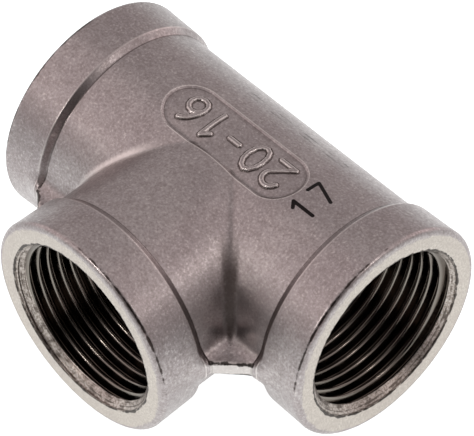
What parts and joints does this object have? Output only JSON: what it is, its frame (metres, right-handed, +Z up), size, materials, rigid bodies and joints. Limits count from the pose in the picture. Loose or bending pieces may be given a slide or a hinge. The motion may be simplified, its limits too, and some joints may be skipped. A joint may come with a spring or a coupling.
{
  "type": "threaded pipe tee",
  "caption": "Cast stainless steel pipe tee with female pipe threads at every end: a straight run and a square branch, with banded collars and a web in each inside corner.",
  "frame": {"origin": "the point where the axis of the run and the axis of the branch cross", "axes": "+X along the run, -Y along the branch towards its mouth, +Z up, out of the marking panel"},
  "size_m": [0.0588, 0.0454, 0.0332],
  "materials": {
    "cast_steel": "bead-blasted investment casting, machined end faces and tapped sockets"
  },
  "bodies": {
    "root": {"tee_body": "cast_steel"}
  },
  "joints": []
}
